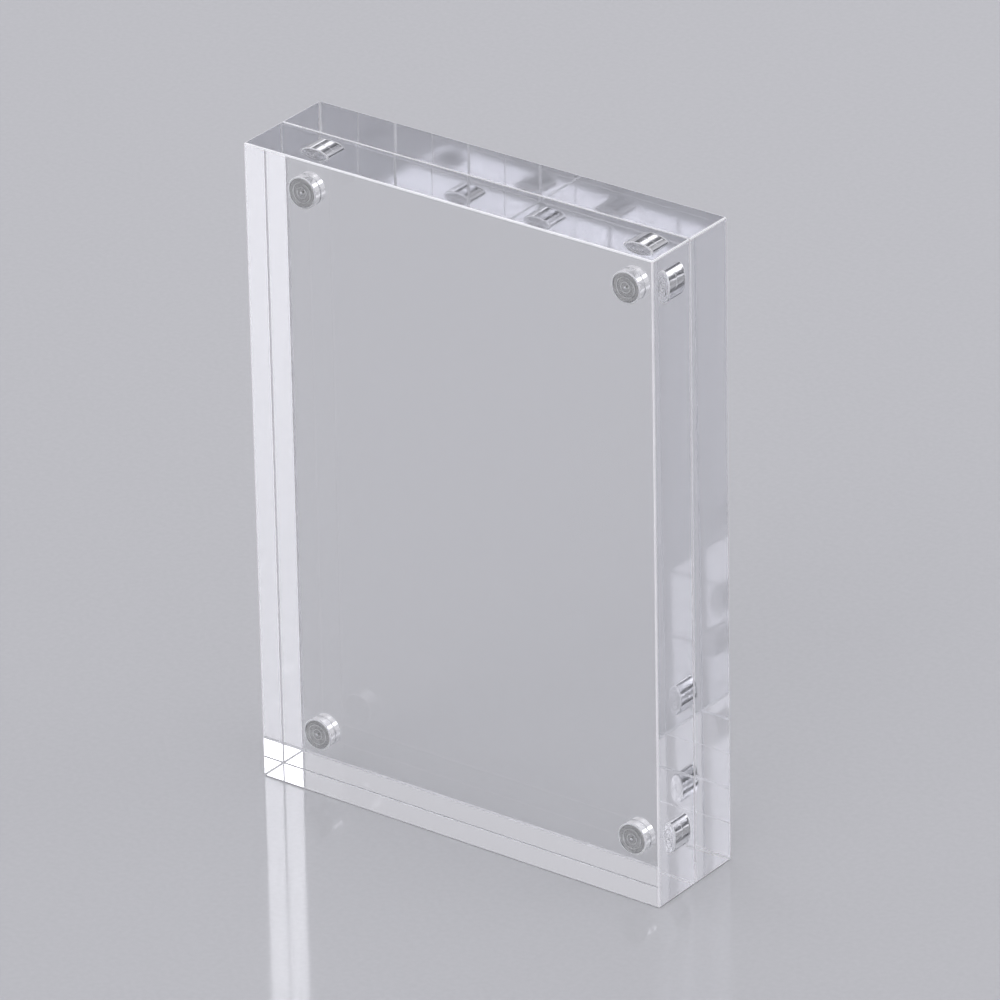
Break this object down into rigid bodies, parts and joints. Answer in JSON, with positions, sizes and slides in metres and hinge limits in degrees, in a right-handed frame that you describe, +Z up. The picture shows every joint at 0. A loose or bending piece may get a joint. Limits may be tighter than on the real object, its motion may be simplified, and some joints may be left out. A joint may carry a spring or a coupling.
{
  "type": "acrylic block frame",
  "caption": "Clear acrylic block picture frame: a thick front slab held to an equal rear slab by disc magnets sunk in the corners, with a thin slot between them for a print.",
  "frame": {"origin": "middle of the closed frame's footprint, on the surface that it stands on", "axes": "+Z up along the height, +X to the viewer's right along the width, +Y from the front block to the rear"},
  "size_m": [0.089, 0.0222, 0.127],
  "materials": {
    "clear_acrylic": "polished",
    "nickel_plate": "polished",
    "clear_adhesive": "gloss"
  },
  "bodies": {
    "rear": {"rear_block": "clear_acrylic", "rear_magnet_top_left": "nickel_plate", "rear_magnet_top_right": "nickel_plate", "rear_magnet_bottom_left": "nickel_plate", "rear_magnet_bottom_right": "nickel_plate", "rear_glue_top_left": "clear_adhesive", "rear_glue_top_right": "clear_adhesive", "rear_glue_bottom_left": "clear_adhesive", "rear_glue_bottom_right": "clear_adhesive"},
    "front": {"front_block": "clear_acrylic", "front_magnet_top_left": "nickel_plate", "front_magnet_top_right": "nickel_plate", "front_magnet_bottom_left": "nickel_plate", "front_magnet_bottom_right": "nickel_plate", "front_glue_top_left": "clear_adhesive", "front_glue_top_right": "clear_adhesive", "front_glue_bottom_left": "clear_adhesive", "front_glue_bottom_right": "clear_adhesive"}
  },
  "joints": [
    {"name": "front_pull", "type": "slide", "parent": "rear", "child": "front", "axis": [0, -1, 0], "range_m": [0, 0.06], "stiffness_N_per_m": 15, "springref_m": -0.2}
  ]
}
